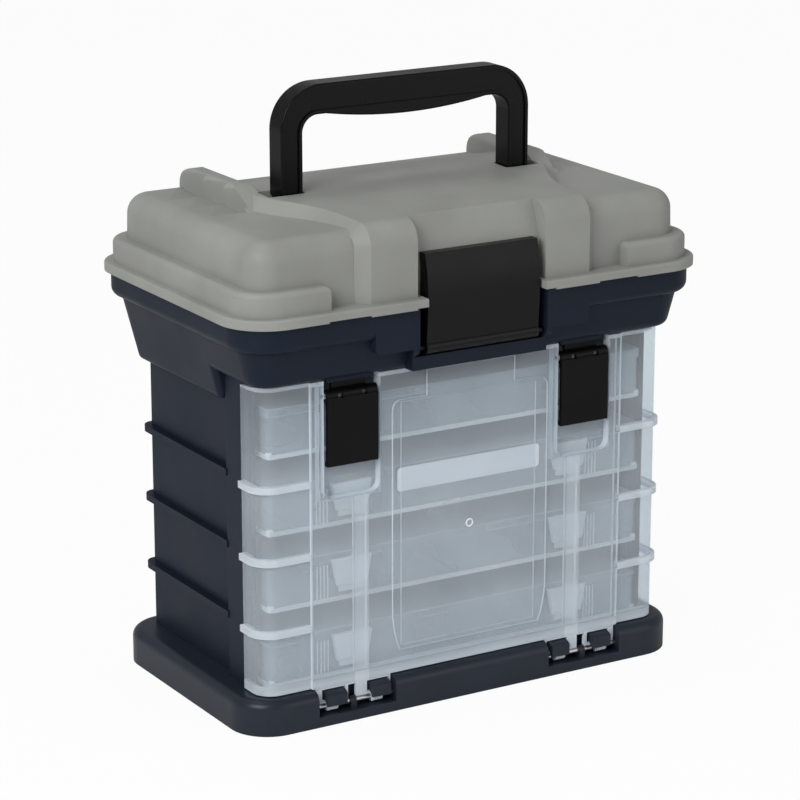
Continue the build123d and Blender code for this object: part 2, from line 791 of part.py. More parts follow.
# Handle: one bail with hollow feet that fit over the lid's lugs
grip_low = handle_top - grip_thick
foot_radius = 11.5
foot_cavity = (lug_inner - 0.6, lug_outer + 0.6)
panel_sink = 1.3
panel_rim = 2.6
with BuildPart() as carry_handle:
    with BuildSketch(Plane.XZ.offset(-handle_y - handle_thick / 2)) as bail:
        with Locations((0, handle_pivot_z - foot_radius)):
            Rectangle(
                2 * handle_outer, handle_top - handle_pivot_z + foot_radius,
                align=(Align.CENTER, Align.MIN),
            )
        fillet(bail.vertices().group_by(Axis.Y)[-1], handle_corner)
        with Locations((0, handle_pivot_z - foot_radius)):
            Rectangle(
                2 * handle_inner, grip_low - handle_pivot_z + foot_radius,
                align=(Align.CENTER, Align.MIN), mode=Mode.SUBTRACT,
            )
        fillet(
            bail.vertices().filter_by_position(Axis.Y, grip_low - 0.1, grip_low + 0.1),
            handle_inner_corner,
        )
        with BuildLine():
            belly = ThreePointArc(
                (-handle_inner + 17, grip_low), (0, grip_low - grip_belly),
                (handle_inner - 17, grip_low),
            )
            Polyline(belly @ 0, belly @ 0 + (0, 2), belly @ 1 + (0, 2), belly @ 1)
        make_face()
    extrude(amount=handle_thick)
    fillet(
        carry_handle.faces().sort_by(Axis.Y)[0].edges()
        + carry_handle.faces().sort_by(Axis.Y)[-1].edges(),
        handle_edge,
    )
    # Feet are round about the pivot
    for side in (-1, 1):
        low_x = min(side * (handle_inner - 1), side * (handle_outer + 1))
        with BuildSketch(Plane.YZ.offset(low_x)):
            with Locations((handle_y, handle_pivot_z - foot_radius - 1)):
                Rectangle(handle_thick + 2, foot_radius + 1, align=(Align.CENTER, Align.MIN))
            with Locations((handle_y, handle_pivot_z)):
                Circle(foot_radius, mode=Mode.SUBTRACT)
        extrude(amount=handle_outer - handle_inner + 2, mode=Mode.SUBTRACT)
    # Sunk panel along the front and the back
    for plane_y in (handle_y - handle_thick / 2, handle_y + handle_thick / 2 - panel_sink):
        with BuildSketch(Plane.XZ.offset(-plane_y - panel_sink)) as sunk:
            with Locations((0, handle_pivot_z - foot_radius - 1)):
                Rectangle(
                    2 * (handle_outer - panel_rim),
                    handle_top - panel_rim - handle_pivot_z + foot_radius + 1,
                    align=(Align.CENTER, Align.MIN),
                )
            fillet(sunk.vertices().group_by(Axis.Y)[-1], handle_corner - panel_rim)
            with Locations((0, handle_pivot_z - foot_radius - 2)):
                Rectangle(
                    2 * (handle_inner + panel_rim),
                    grip_low + panel_rim - handle_pivot_z + foot_radius + 2,
                    align=(Align.CENTER, Align.MIN), mode=Mode.SUBTRACT,
                )
            inner_z = grip_low + panel_rim
            fillet(
                sunk.vertices().filter_by_position(Axis.Y, inner_z - 0.1, inner_z + 0.1),
                handle_inner_corner + panel_rim,
            )
        extrude(amount=panel_sink, mode=Mode.SUBTRACT)
    for side in (-1, 1):
        # Hollow foot, open at the back and below
        with Locations((
            side * (foot_cavity[0] + foot_cavity[1]) / 2,
            handle_y - lug_radius - 0.6,
            handle_pivot_z + 6.5,
        )):
            Box(
                foot_cavity[1] - foot_cavity[0], handle_thick * 2, 40,
                align=(Align.CENTER, Align.MIN, Align.MAX), mode=Mode.SUBTRACT,
            )
        with Locations(
            Location((side * (handle_inner + handle_outer) / 2, handle_y, handle_pivot_z), (0, 90, 0))
        ):
            Cylinder(
                handle_pin_radius + pin_gap, handle_outer - handle_inner - 1.6,
                mode=Mode.SUBTRACT,
            )
carry_handle.part.label = "carry_handle"
export_step(carry_handle.part, "parts/carry_handle.step")


# Main latch: a curved cover on a cross pin at its foot
plate_front = latch_pivot_y - 3.1
latch_roof = lid_low + latch_top
with BuildPart() as main_latch:
    with BuildSketch(Plane.YZ.offset(-latch_half)):
        with BuildLine():
            face = Spline(
                (plate_front, latch_pivot_z),
                (plate_front - latch_bulge, (latch_pivot_z + latch_roof) / 2),
                (plate_front + 0.4, latch_roof - 7),
                (plate_front + 2.4, latch_roof),
            )
            Polyline(
                face @ 1,
                (bay_y - 0.6, latch_roof),
                (bay_y - 0.6, latch_roof - 3),
                (bay_y - 1.6, latch_roof - 8),
                (bay_y - 1.6, latch_pivot_z + 1),
                (latch_pivot_y, latch_pivot_z),
                face @ 0,
            )
        make_face()
        with Locations((latch_pivot_y, latch_pivot_z)):
            Circle(4.4)
    extrude(amount=2 * latch_half)
    with BuildSketch(Plane.YZ.offset(-latch_half + latch_wall)):
        with BuildLine():
            Polyline(
                (plate_front + latch_wall, latch_pivot_z + 7),
                (plate_front + latch_wall - latch_bulge * 0.6, (latch_pivot_z + latch_roof) / 2),
                (plate_front + latch_wall + 0.4, latch_roof - 8),
                (plate_front + latch_wall + 1.4, latch_roof - latch_wall),
                (bay_y + 5, latch_roof - latch_wall),
                (bay_y + 5, latch_pivot_z + 7),
                (plate_front + latch_wall, latch_pivot_z + 7),
            )
        make_face()
    extrude(amount=2 * (latch_half - latch_wall), mode=Mode.SUBTRACT)
    # Hook in front of the lid's catch rib
    with Locations((0, bay_y + 0.5 - 4.5 - seat_gap, tub_top + 10.3)):
        Box(catch_width, 3.4, 2.6, align=(Align.CENTER, Align.MAX, Align.MIN))
    with Locations(Location((0, latch_pivot_y, latch_pivot_z), (0, 90, 0))):
        Cylinder(latch_pin_radius + pin_gap, 2 * latch_half + 4, mode=Mode.SUBTRACT)
main_latch.part.label = "main_latch"
export_step(main_latch.part, "parts/main_latch.step")

with BuildPart() as main_latch_pin:
    with Locations(Location((0, latch_pivot_y, latch_pivot_z), (0, 90, 0))):
        Cylinder(latch_pin_radius, 2 * (bay_width + 3.2))
main_latch_pin.part.label = "main_latch_pin"
export_step(main_latch_pin.part, "parts/main_latch_pin.step")


# Clear door
field_back = door_front + door_wall
recess_high = rack_top - notch_drop
recess_foot = recess_high - 59.0
recess_floor = door_front + recess_depth
panel_foot = base_height + panel_low + 2.0
panel_top = rack_top - panel_high
with BuildPart() as door:
    with BuildSketch(Plane.XY.offset(door_low)) as shell:
        with Locations((0, strip_front)):
            Rectangle(2 * door_half, door_back - strip_front, align=(Align.CENTER, Align.MIN))
        fillet(shell.vertices().group_by(Axis.Y)[0], door_corner)
    extrude(amount=door_high - door_low)
    # Bumps over the rack's ribs, round both corners
    for level in rib_levels:
        with BuildSketch(Plane.XY.offset(level - rib_thick / 2)) as bump:
            with Locations((0, door_front)):
                Rectangle(
                    2 * (door_half + rib_bump), door_back - door_front,
                    align=(Align.CENTER, Align.MIN),
                )
            fillet(bump.vertices().group_by(Axis.Y)[0], door_corner + 1.5)
            with Locations((0, door_front)):
                Rectangle(2 * field_half, 4 * door_wall, mode=Mode.SUBTRACT)
        extrude(amount=rib_thick)
    # Field and centre panel stand forward
    with Locations((0, door_front, door_low)):
        Box(
            2 * field_half, 2 * door_wall, door_high - door_low,
            align=(Align.CENTER, Align.MIN, Align.MIN),
        )
    with BuildSketch(Plane.XZ.offset(-door_front - door_wall)) as front_panel:
        with BuildLine():
            bend = Spline(
                (panel_half, panel_foot + 26),
                (panel_half - 1.6, panel_foot + 12),
                (panel_half - 5.2, panel_foot),
                tangents=[(0, -1), (-0.45, -1)],
            )
            Line((panel_half, panel_top), bend @ 0)
            Line((panel_half, panel_top), (0, panel_top))
            Line(bend @ 1, (0, panel_foot))
            mirror(about=Plane.YZ)
        make_face()
        fillet(front_panel.vertices().group_by(Axis.Y)[-1], 6)
        with Locations((0, panel_top - 1)):
            Rectangle(
                2 * panel_tab_half, door_high - panel_top + 1, align=(Align.CENTER, Align.MIN)
            )
    extrude(amount=door_wall + panel_step)
    # Hollow behind the strips, the field and the panel
    with BuildSketch(Plane.XY.offset(door_low + door_rim)) as hollow:
        with Locations((0, strip_front + door_wall)):
            Rectangle(
                2 * (door_half - door_wall), door_back - strip_front,
                align=(Align.CENTER, Align.MIN),
            )
        fillet(hollow.vertices().group_by(Axis.Y)[0], door_corner - door_wall)
    extrude(amount=door_high - door_low - door_rim - door_wall, mode=Mode.SUBTRACT)
    with Locations((0, field_back, door_low + door_rim)):
        Box(
            2 * (field_half - door_wall), 3 * door_wall,
            door_high - door_low - door_rim - door_wall,
            align=(Align.CENTER, Align.MIN, Align.MIN), mode=Mode.SUBTRACT,
        )
    with Locations((0, door_front + door_wall - panel_step, panel_foot + door_wall)):
        Box(
            2 * (panel_half - door_wall - 5.2), 3 * door_wall,
            panel_top - panel_foot - 2 * door_wall,
            align=(Align.CENTER, Align.MIN, Align.MIN), mode=Mode.SUBTRACT,
        )
    with Locations((0, strip_front + door_lip, 0)):
        Box(
            2 * (door_half - door_wall), 80, 2 * rack_top,
            align=(Align.CENTER, Align.MIN, Align.CENTER), mode=Mode.SUBTRACT,
        )
    for side in (-1, 1):
        middle = side * (recess_inner + recess_outer) / 2
        # Walls of the latch recess, then the recess, then the notch through the top
        with Locations((middle, recess_floor + door_wall - 0.2, recess_foot - door_wall)):
            Box(
                recess_outer - recess_inner + 2 * door_wall,
                recess_depth + door_wall - 0.4,
                door_high - recess_foot + door_wall,
                align=(Align.CENTER, Align.MAX, Align.MIN),
            )
        with BuildSketch(Plane.XZ.offset(-recess_floor)) as recess:
            with Locations((middle, recess_foot)):
                Rectangle(
                    recess_outer - recess_inner, rack_top - recess_foot,
                    align=(Align.CENTER, Align.MIN),
                )
            fillet(recess.vertices().group_by(Axis.Y)[0], 6)
        extrude(amount=20, mode=Mode.SUBTRACT)
        with Locations((middle, door_front - 10, recess_high)):
            Box(
                recess_outer - recess_inner, 40, 40,
                align=(Align.CENTER, Align.MIN, Align.MIN), mode=Mode.SUBTRACT,
            )
        with Locations(Location((middle, door_rod_y, door_rod_z), (0, 90, 0))):
            Cylinder(door_rod_radius, recess_outer - recess_inner + 1.0)
        # Upright rib on the inside, from the recess to the foot
        with Locations((side * (recess_inner + door_rib_from_recess), field_back - 0.5, door_low + 1.0)):
            Box(
                door_rib_width, door_rib_thick + 0.5, recess_foot - door_low - 2.0,
                align=(Align.MIN if side > 0 else Align.MAX, Align.MIN, Align.MIN),
            )
        # Hinge frame with windows, and two clips round the pin
        with BuildSketch(Plane.XZ.offset(-field_back)):
            with Locations((side * (hinge_inner + hinge_outer) / 2, door_pin_z + 1.9)):
                Rectangle(
                    hinge_outer - hinge_inner, door_low - door_pin_z - 0.9,
                    align=(Align.CENTER, Align.MIN),
                )
            for (start, end), foot in zip(hinge_windows, (3.9, -4.0, 3.9)):
                with Locations((side * (hinge_inner + (start + end) / 2), door_pin_z + foot)):
                    Rectangle(
                        end - start, 10.7 - foot, align=(Align.CENTER, Align.MIN),
                        mode=Mode.SUBTRACT,
                    )
        extrude(amount=door_wall)
        for start, end in hinge_clips:
            low_x = min(side * (hinge_inner + start), side * (hinge_inner + end))
            with BuildSketch(Plane.YZ.offset(low_x)):
                with Locations((door_pin_y, door_pin_z)):
                    Circle(3.4)
            extrude(amount=end - start)
            with BuildSketch(Plane.YZ.offset(low_x - 1)):
                with Locations((door_pin_y, door_pin_z)):
                    Circle(door_pin_radius + pin_gap)
                with Locations((door_pin_y, door_pin_z)):
                    Rectangle(1.3, 10, align=(Align.CENTER, Align.MAX))
            extrude(amount=end - start + 2, mode=Mode.SUBTRACT)
    # The rear of the side walls is cut down a little, for the swing under the tub
    with BuildSketch(Plane.YZ.offset(-door_half - 10)):
        with BuildLine():
            Polyline(
                (strip_front + door_lip, door_high),
                (door_back + 1, door_high - 1.8),
                (door_back + 1, door_high + 5),
                (strip_front + door_lip, door_high + 5),
                (strip_front + door_lip, door_high),
            )
        make_face()
    extrude(amount=2 * door_half + 20, mode=Mode.SUBTRACT)
door.part.label = "door"
export_step(door.part, "parts/door.step")


# Latches of the door: a plate under a barrel on the clear rod, and a tongue above
latch_inner = recess_inner + door_latch_side_gap + 0.6
latch_outer = recess_outer - door_latch_side_gap - 0.6
latch_plate_front = door_rod_y - 4.0
for side, name in ((-1, "left"), (1, "right")):
    low_x = min(side * latch_inner, side * latch_outer)
    latch_middle = side * (latch_inner + latch_outer) / 2
    with BuildPart() as door_latch:
        with BuildSketch(Plane.YZ.offset(low_x)):
            with BuildLine():
                Polyline(
                    (latch_plate_front, door_rod_z - door_latch_height + 6),
                    (latch_plate_front, door_rod_z - 1),
                    (door_rod_y, door_rod_z),
                    (latch_plate_front + door_latch_thick, door_rod_z - 5),
                    (latch_plate_front + door_latch_thick, door_rod_z - door_latch_height + 6),
                    (latch_plate_front, door_rod_z - door_latch_height + 6),
                )
            make_face()
            with Locations((door_rod_y, door_rod_z)):
                Circle(door_barrel_radius)
        extrude(amount=latch_outer - latch_inner)
        with Locations((latch_middle, door_rod_y + 1.8, door_rod_z)):
            Box(
                24, 2.0, rack_top - ridge_drop - seat_gap - door_rod_z,
                align=(Align.CENTER, Align.MIN, Align.MIN),
            )
        for window in (-8.35, 8.35):
            with Locations((latch_middle + window, door_rod_y - 2.0, door_rod_z)):
                Box(3.6, 4.2, 3.0, mode=Mode.SUBTRACT)
        # Finger edge at the foot of the plate
        with Locations((
            latch_middle,
            latch_plate_front,
            door_rod_z - door_latch_height + 6,
        )):
            Box(
                latch_outer - latch_inner, door_latch_thick + 1.2, 3.0,
                align=(Align.CENTER, Align.MIN, Align.MIN),
            )
        with Locations(Location((latch_middle, door_rod_y, door_rod_z), (0, 90, 0))):
            Cylinder(
                door_rod_radius + pin_gap, latch_outer - latch_inner + 4, mode=Mode.SUBTRACT
            )
    door_latch.part.label = f"door_latch_{name}"
    export_step(door_latch.part, f"parts/door_latch_{name}.step")


# Utility trays
lid_seat = tray_height - tray_lid_height
bin_front = tray_front + tray_lid_lip
bin_back = tray_back - 2 * tray_knuckle_radius - 0.6
bin_half = tray_length / 2 - 1.0
tray_pin_y = tray_back - tray_knuckle_radius
tray_pin_z = lid_seat - 2.8
inner_half = bin_half - tray_wall
row_wall = bin_front + tray_wall + front_row_depth
cell = (2 * inner_half + divider_thick) / (divider_count + 1)
divider_places = [
    -inner_half - divider_thick / 2 + cell * (i + 1) for i in range(divider_count)
]
knuckle_places = [-105.0, -35.0, 35.0, 105.0]

for index in range(tray_count):
    low = tray_z + index * tray_pitch
    name = f"tray_{index + 1}"

    with BuildPart() as tray_bin:
        with BuildSketch(Plane.XY.offset(low)):
            with Locations((0, (bin_front + bin_back) / 2)):
                RectangleRounded(2 * bin_half, bin_back - bin_front, tray_corner)
        extrude(amount=lid_seat - 0.2)
        with BuildSketch(Plane.XY.offset(low + tray_wall)):
            with Locations((0, bin_front + tray_wall)):
                Rectangle(2 * inner_half, front_row_depth, align=(Align.CENTER, Align.MIN))
            with Locations((0, row_wall + tray_wall)):
                Rectangle(
                    2 * inner_half, bin_back - row_wall - 2 * tray_wall,
                    align=(Align.CENTER, Align.MIN),
                )
        extrude(amount=tray_height, mode=Mode.SUBTRACT)
        # Rear knuckles
        for place in knuckle_places:
            with BuildSketch(Plane.YZ.offset(place - 8)):
                with Locations((tray_pin_y, low + tray_pin_z)):
                    Circle(tray_knuckle_radius)
                with Locations((tray_pin_y, low + tray_pin_z)):
                    Rectangle(
                        tray_pin_y - bin_back + 0.5, 2 * tray_knuckle_radius,
                        align=(Align.MAX, Align.CENTER),
                    )
            extrude(amount=16)
            with Locations(Location((place, tray_pin_y, low + tray_pin_z), (0, 90, 0))):
                Cylinder(tray_pin_radius + pin_gap, 18, mode=Mode.SUBTRACT)
    tray_bin.part.label = f"{name}_bin"
    export_step(tray_bin.part, f"parts/{name}_bin.step")

    with BuildPart() as tray_dividers:
        for place in divider_places:
            with Locations((place, bin_front + tray_wall, low + tray_wall)):
                Box(
                    divider_thick, front_row_depth, lid_seat - tray_wall - 2,
                    align=(Align.CENTER, Align.MIN, Align.MIN),
                )
    tray_dividers.part.label = f"{name}_dividers"
    export_step(tray_dividers.part, f"parts/{name}_dividers.step")

    with BuildPart() as tray_lid:
        with BuildSketch(Plane.XY.offset(low + lid_seat)):
            with Locations((0, (tray_front + tray_back) / 2)):
                RectangleRounded(tray_length, tray_depth, tray_corner + 1.0)
        extrude(amount=tray_lid_height)
        fillet(tray_lid.faces().sort_by(Axis.Z)[-1].edges(), 1.0)
        with BuildSketch(Plane.XY.offset(low + lid_seat)):
            with Locations((0, (tray_front + tray_back) / 2)):
                RectangleRounded(
                    tray_length - 2 * tray_lid_lip, tray_depth - 2 * tray_lid_lip, 3.0
                )
        extrude(amount=tray_lid_height - tray_wall, mode=Mode.SUBTRACT)
        for place in knuckle_places:
            with BuildSketch(Plane.YZ.offset(place + 8.6)):
                with Locations((tray_pin_y, low + tray_pin_z)):
                    Circle(tray_knuckle_radius)
                with Locations((tray_back, low + tray_pin_z)):
                    Rectangle(
                        tray_knuckle_radius * 1.6, lid_seat - tray_pin_z + 1.5,
                        align=(Align.MAX, Align.MIN),
                    )
            extrude(amount=14)
            with Locations(Location((place + 15.6, tray_pin_y, low + tray_pin_z), (0, 90, 0))):
                Cylinder(tray_pin_radius + pin_gap, 18, mode=Mode.SUBTRACT)
    tray_lid.part.label = f"{name}_lid"
    export_step(tray_lid.part, f"parts/{name}_lid.step")

    with BuildPart() as tray_hinge_pin:
        with Locations(Location((7.5, tray_pin_y, low + tray_pin_z), (0, 90, 0))):
            Cylinder(tray_pin_radius, 2 * knuckle_places[-1] + 32)
    tray_hinge_pin.part.label = f"{name}_hinge_pin"
    export_step(tray_hinge_pin.part, f"parts/{name}_hinge_pin.step")

    for side, hand in ((-1, "left"), (1, "right")):
        with BuildPart() as tray_latch:
            with BuildSketch(Plane.XZ.offset(-tray_front)):
                with BuildLine():
                    Polyline(
                        (side * tab_offset - tab_foot_width / 2, low + tab_rise),
                        (side * tab_offset + tab_foot_width / 2, low + tab_rise),
                        (side * tab_offset + tab_width / 2, low + lid_seat + tab_overlap),
                        (side * tab_offset - tab_width / 2, low + lid_seat + tab_overlap),
                        (side * tab_offset - tab_foot_width / 2, low + tab_rise),
                    )
                make_face()
            extrude(amount=tab_proud)
            fillet(tray_latch.edges().filter_by(Axis.X).group_by(Axis.Y)[0], 1.2)
            # Thin tongue below, for the thumb
            with Locations((side * tab_offset, tray_front, low + tab_rise + 1.0)):
                Box(
                    tab_tongue_width, tab_tongue_thick, tab_tongue_drop + 1.0,
                    align=(Align.CENTER, Align.MAX, Align.MAX),
                )
        tray_latch.part.label = f"{name}_latch_{hand}"
        export_step(tray_latch.part, f"parts/{name}_latch_{hand}.step")
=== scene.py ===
# %% [markdown]
# # A rack tackle box, dressed in Blender
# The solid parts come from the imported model, which is loaded as a fixed frame.
# Every piece here is in metres and in the same frame: +Z up, +X to the right of
# someone facing the door, and the door faces -Y.

# %% Load the frame
import json
from math import pi

import bmesh
import bpy
from mathutils import Matrix, Vector


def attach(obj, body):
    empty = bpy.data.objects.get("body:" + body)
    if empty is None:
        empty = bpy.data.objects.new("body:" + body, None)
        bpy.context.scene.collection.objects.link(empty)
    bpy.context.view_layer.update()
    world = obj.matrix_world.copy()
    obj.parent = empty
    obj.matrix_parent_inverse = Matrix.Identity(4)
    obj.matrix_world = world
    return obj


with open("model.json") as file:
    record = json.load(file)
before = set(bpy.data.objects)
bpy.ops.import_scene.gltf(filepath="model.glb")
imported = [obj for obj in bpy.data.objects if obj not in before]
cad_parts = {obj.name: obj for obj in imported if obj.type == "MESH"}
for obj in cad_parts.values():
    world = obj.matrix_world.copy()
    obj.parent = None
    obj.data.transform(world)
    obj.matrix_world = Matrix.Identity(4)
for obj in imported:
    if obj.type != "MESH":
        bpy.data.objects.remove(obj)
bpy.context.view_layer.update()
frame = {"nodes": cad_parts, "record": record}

# %% [markdown]
# ## The camera
# The photograph was taken with a long lens, a little above the box and from its
# left front corner. A long lens keeps the upright edges nearly parallel, which
# is why product pictures use one. The place and the lens were fitted to the
# corners of the base, the lid and the trays.

# %% Camera
camera_data = bpy.data.cameras.new("camera")
camera_data.lens = 140.5
camera_data.sensor_width = 36.0
camera_data.clip_start = 0.05
camera_data.clip_end = 50.0
camera = bpy.data.objects.new("camera", camera_data)
bpy.context.scene.collection.objects.link(camera)
camera.location = (-0.994, -1.650, 0.729)
look = Vector((0.4957, 0.8227, -0.2782))
camera.rotation_mode = "QUATERNION"
camera.rotation_quaternion = look.to_track_quat("-Z", "Y")
bpy.context.scene.camera = camera
bpy.context.scene.view_settings.view_transform = "Standard"
print("camera distance", round(camera.location.length, 3), "m")

# %% [markdown]
# ## Tools for node materials
# Every finish here is a recipe of shader nodes. Nodes can be placed by hand in the
# shader editor, but a script repeats them exactly. Four small helpers keep the
# recipes short: one starts a material, one joins two nodes, one does a sum, and
# one turns a range of values into another.


# %% Node helpers
def recipe(name):
    """A new node material, with its tree and its Principled shader."""
    material = bpy.data.materials.new(name)
    material.use_nodes = True
    tree = material.node_tree
    return material, tree, tree.nodes["Principled BSDF"]


def wire(tree, source, source_socket, target, target_socket):
    """Joins two nodes by the names or numbers of their sockets."""
    tree.links.new(source.outputs[source_socket], target.inputs[target_socket])


def reckon(tree, operation, *inputs, clamp=False):
    """A Math node. Each input is a number, or a node with the name of its output."""
    node = tree.nodes.new("ShaderNodeMath")
    node.operation = operation
    node.use_clamp = clamp
    for place, value in enumerate(inputs):
        if isinstance(value, tuple):
            wire(tree, value[0], value[1], node, place)
        else:
            node.inputs[place].default_value = value
    return node, 0


def ramp(tree, source, low, high, to_low, to_high):
    """A Map Range node from low..high to to_low..to_high."""
    node = tree.nodes.new("ShaderNodeMapRange")
    node.inputs["From Min"].default_value = low
    node.inputs["From Max"].default_value = high
    node.inputs["To Min"].default_value = to_low
    node.inputs["To Max"].default_value = to_high
    wire(tree, source[0], source[1], node, "Value")
    return node, "Result"


print("node helpers", [helper.__name__ for helper in (recipe, wire, reckon, ramp)])

# %% [markdown]
# ## A white studio
# The box stands on a white sweep: a floor that curves up into a wall, so that no
# horizon shows. A plain white world would do as a background, but then nothing
# would catch the box's shadow. The floor answers camera rays with white, and only
# a small share of its answer is the real light on it, so the picture stays white
# and the box still stands on a soft shadow.

# %% White sweep
sweep_half = 6.0
wall_height = 6.0
wall_bend = 2.5
white_share = 0.95

sweep_mesh = bpy.data.meshes.new("studio_sweep")
bm = bmesh.new()
bmesh.ops.create_grid(bm, x_segments=1, y_segments=1, size=sweep_half)
back_edge = [e for e in bm.edges if all(v.co.y > sweep_half - 0.1 for v in e.verts)]
wall = bmesh.ops.extrude_edge_only(bm, edges=back_edge)
wall_top = [v for v in wall["geom"] if isinstance(v, bmesh.types.BMVert)]
bmesh.ops.translate(bm, vec=(0, 0, wall_height), verts=wall_top)
bmesh.ops.bevel(
    bm, geom=back_edge, offset=wall_bend, segments=12, profile=0.5, affect="EDGES",
    material=-1,
)
bm.to_mesh(sweep_mesh)
bm.free()
sweep = bpy.data.objects.new("studio_sweep", sweep_mesh)
bpy.context.scene.collection.objects.link(sweep)
for face in sweep_mesh.polygons:
    face.use_smooth = True

white, tree, shader = recipe("studio_white")
shader.inputs["Base Color"].default_value = (0.86, 0.86, 0.86, 1)
shader.inputs["Roughness"].default_value = 0.9
ray = tree.nodes.new("ShaderNodeLightPath")
glow = tree.nodes.new("ShaderNodeEmission")
glow.inputs["Strength"].default_value = 1.0
blend = tree.nodes.new("ShaderNodeMixShader")
seen = reckon(tree, "MAXIMUM", (ray, "Is Camera Ray"), (ray, "Is Transmission Ray"))
share = reckon(tree, "MULTIPLY", seen, white_share)
wire(tree, *share, blend, 0)
wire(tree, shader, 0, blend, 1)
wire(tree, glow, 0, blend, 2)
wire(tree, blend, 0, tree.nodes["Material Output"], 0)
sweep_mesh.materials.append(white)
print("sweep made", len(sweep_mesh.polygons), "faces")

# %% [markdown]
# ## Soft lamps
# Moulded plastic shows its shape in broad highlights. A small lamp would draw hard
# bright spots, so each lamp here is a square more than a metre wide: a strong one
# from the left, a weak one from the right that opens the shadows, and one above.


# %% Lamps and world
def soft_lamp(name, place, aim, size, power):
    """A square area lamp at place, turned toward aim."""
    lamp_data = bpy.data.lights.new(name, "AREA")
    lamp_data.shape = "SQUARE"
    lamp_data.size = size
    lamp_data.energy = power
    lamp = bpy.data.objects.new(name, lamp_data)
    lamp.location = place
    turn = (Vector(aim) - Vector(place)).to_track_quat("-Z", "Y")
    lamp.rotation_mode = "QUATERNION"
    lamp.rotation_quaternion = turn
    bpy.context.scene.collection.objects.link(lamp)


box_middle = (0, 0, 0.2)
room_light = 0.36
soft_lamp("key_lamp", (-1.7, -1.0, 1.3), box_middle, size=1.2, power=27)
soft_lamp("fill_lamp", (1.2, -1.9, 0.7), box_middle, size=1.4, power=6)
soft_lamp("top_lamp", (-0.2, 0.3, 2.2), box_middle, size=1.2, power=9)

world = bpy.data.worlds.new("studio")
bpy.context.scene.world = world
world.use_nodes = True
air = world.node_tree.nodes["Background"]
air.inputs["Color"].default_value = (1, 1, 1, 1)
air.inputs["Strength"].default_value = room_light

# %% [markdown]
# ## Moulded plastic
# The opaque shells are injection moulded. Their steel moulds are blasted, so the
# skin has a very fine grain that spreads highlights, with a slow unevenness where
# the plastic shrank. Two noise textures on object coordinates give both: a fine
# one for the grain's bump, and a broad one that shifts the colour and the gloss.
# The base mirrors a little more than the rack above it, and the wide main latch a
# little more than the handle. The base's colour is also lighter than the rack's:
# that is a painted reflection of the white floor, on top of its real mirror. The
# door latches also keep fine level lines from the cutter that made their mould,
# so they take a wave texture on top of the grain.


# %% Moulded plastic
def moulded_plastic(name, colour, roughness, mirror, grain_size, grain_depth, lines=0.0):
    """Opaque moulded plastic: colour, grain from the mould, and uneven gloss.

    mirror is the level of its clear reflections, and lines the scale of the cutter's
    level lines. The grain's size and depth are in metres.
    """
    material, tree, shader = recipe(name)
    shader.inputs["Specular IOR Level"].default_value = mirror
    place = tree.nodes.new("ShaderNodeTexCoord")
    grain = tree.nodes.new("ShaderNodeTexNoise")
    grain.inputs["Scale"].default_value = 1.0 / grain_size
    grain.inputs["Detail"].default_value = 3.0
    cloud = tree.nodes.new("ShaderNodeTexNoise")
    cloud.inputs["Scale"].default_value = 22.0
    cloud.inputs["Detail"].default_value = 2.0
    tint = tree.nodes.new("ShaderNodeValToRGB")
    tint.color_ramp.elements[0].position = 0.35
    tint.color_ramp.elements[0].color = (*[c * 0.94 for c in colour], 1)
    tint.color_ramp.elements[1].position = 0.65
    tint.color_ramp.elements[1].color = (*[c * 1.06 for c in colour], 1)
    wire(tree, place, "Object", grain, "Vector")
    wire(tree, place, "Object", cloud, "Vector")
    wire(tree, cloud, "Fac", tint, "Fac")
    wire(tree, tint, "Color", shader, "Base Color")
    uneven = ramp(tree, (cloud, "Fac"), 0.3, 0.7, roughness - 0.05, roughness + 0.05)
    wire(tree, *uneven, shader, "Roughness")
    height = grain, "Fac"
    if lines:
        wave = tree.nodes.new("ShaderNodeTexWave")
        wave.bands_direction = "Z"
        wave.inputs["Scale"].default_value = lines
        wave.inputs["Distortion"].default_value = 1.5
        wire(tree, place, "Object", wave, "Vector")
        height = reckon(tree, "MULTIPLY_ADD", (wave, "Fac"), 2.0, height)
    bump = tree.nodes.new("ShaderNodeBump")
    bump.inputs["Strength"].default_value = 0.35
    bump.inputs["Distance"].default_value = grain_depth
    wire(tree, *height, bump, "Height")
    wire(tree, bump, "Normal", shader, "Normal")
    return material


black = (0.0026, 0.0026, 0.0028)
navy_grain = {"grain_size": 0.0011, "grain_depth": 0.00010}
grey_grain = {"grain_size": 0.0012, "grain_depth": 0.00012}
black_grain = {"grain_size": 0.0009, "grain_depth": 0.00005}
navy_shell = moulded_plastic("navy_shell", (0.0105, 0.0160, 0.0290), 0.42, 0.12, **navy_grain)
# Painted reflection: the base's colour is lighter than the rack's navy, standing in for the
# white floor mirrored in it
navy_base_painted_reflection = moulded_plastic("navy_base_painted_reflection", (0.0170, 0.0225, 0.0350), 0.36, 0.30, **navy_grain)
grey_shell = moulded_plastic("grey_shell", (0.302, 0.308, 0.288), 0.52, 0.30, **grey_grain)
black_cover = moulded_plastic("black_cover", black, 0.33, 0.22, **black_grain)
black_fitting = moulded_plastic("black_fitting", black, 0.27, 0.16, **black_grain)
black_lined = moulded_plastic("black_lined", black, 0.33, 0.14, **black_grain, lines=110.0)
print("navy", navy_shell.name, navy_base_painted_reflection.name, "grey", grey_shell.name)
print("black", black_cover.name, black_fitting.name, black_lined.name)

# %% [markdown]
# ## Milky clear plastic
# The door and the trays are natural polypropylene: it lets light through but
# scatters a part of it, so what lies behind looks pale and soft. How milky it
# looks depends on how much plastic the light crosses: a thin flat wall is nearly
# clear, while an edge, a rib or a thick foot looks white. So the cover, the share
# of scattered light, is small on the flats and rises on faces that look up, down
# or sideways, which are the edges of the moulding, and where the wall is thick.
# The normal and the place both come from object coordinates.


